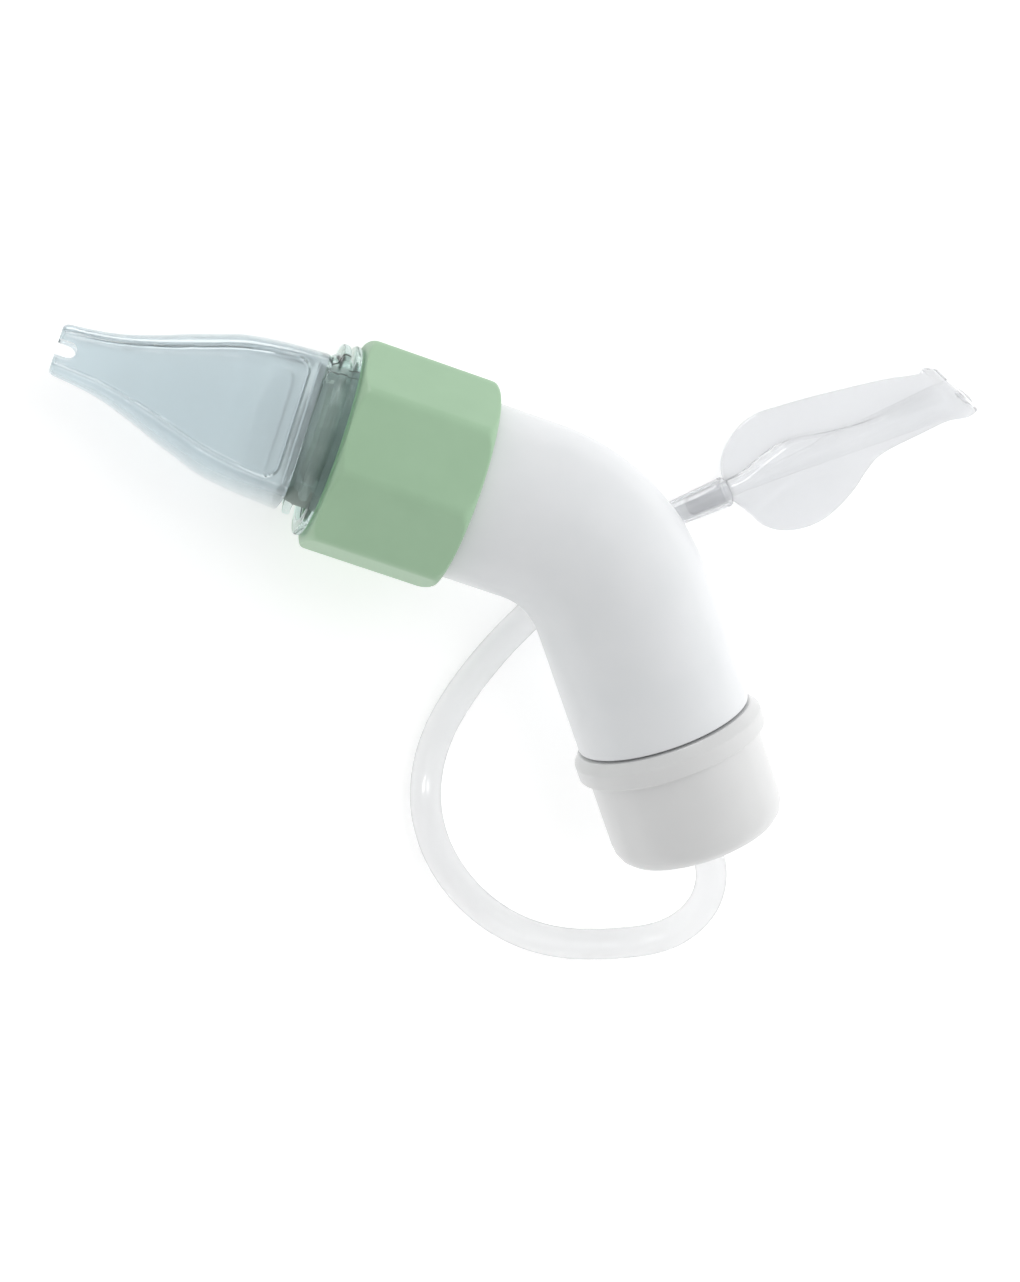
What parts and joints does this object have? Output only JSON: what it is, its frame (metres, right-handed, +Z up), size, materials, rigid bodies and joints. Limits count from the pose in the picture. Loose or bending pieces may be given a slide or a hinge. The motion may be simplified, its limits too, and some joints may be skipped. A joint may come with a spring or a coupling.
{
  "type": "nasal aspirator",
  "caption": "Bent hand-held suction body with a screw-on flat nose tip, a pull-off filter cap and a looped hose that ends in a winged mouthpiece.",
  "frame": {"origin": "on the table, at the middle of the bounding box of everything but the hose", "axes": "+Z up from the table; -X the way the nose tip points, to one degree, seen from above"},
  "size_m": [0.1666, 0.1273, 0.0385],
  "materials": {
    "body_white": "satin",
    "collar_green": "satin",
    "tip_blue": "polished, translucent",
    "clear_ring": "polished, clear",
    "baffle_grey": "matt",
    "seal": "matt silicone",
    "foam": "open-cell foam",
    "hose_clear": "clear silicone tube",
    "mouth_clear": "polished, clear"
  },
  "bodies": {
    "root": {"end_cap": "body_white", "filter_grid": "body_white", "filter_foam": "foam", "hose_nipple": "clear_ring", "hose": "hose_clear", "mouthpiece_sleeve": "mouth_clear"},
    "elbow": {"elbow_body": "body_white", "cap_o_ring": "seal"},
    "nose": {"nose_tip": "tip_blue", "tip_baffle": "baffle_grey", "tip_seal": "seal", "tip_ring": "clear_ring"},
    "collar": {"collar": "collar_green"},
    "mouthpiece": {"mouthpiece": "mouth_clear"}
  },
  "joints": [
    {"name": "body_pull", "type": "slide", "parent": "root", "child": "elbow", "axis": [-0.6563, 0.744, 0.1257], "range_m": [0, 0.012]},
    {"name": "nose_advance", "type": "slide", "parent": "elbow", "child": "nose", "axis": [-0.9958, -0.0174, -0.0898], "range_m": [0, 0.0061]},
    {"name": "collar_turn", "type": "hinge", "parent": "nose", "child": "collar", "pos_m": [-0.02204, -0.00092, 0.01926], "axis": [-0.9958, -0.0174, -0.0898], "range_deg": [0, 540]},
    {"name": "mouthpiece_pull", "type": "slide", "parent": "root", "child": "mouthpiece", "axis": [0.7466, 0.6652, 0], "range_m": [0, 0.009]}
  ],
  "couplings": [
    {"joint": "nose_advance", "follows": "collar_turn", "m_per_rad": 0.00063662}
  ]
}
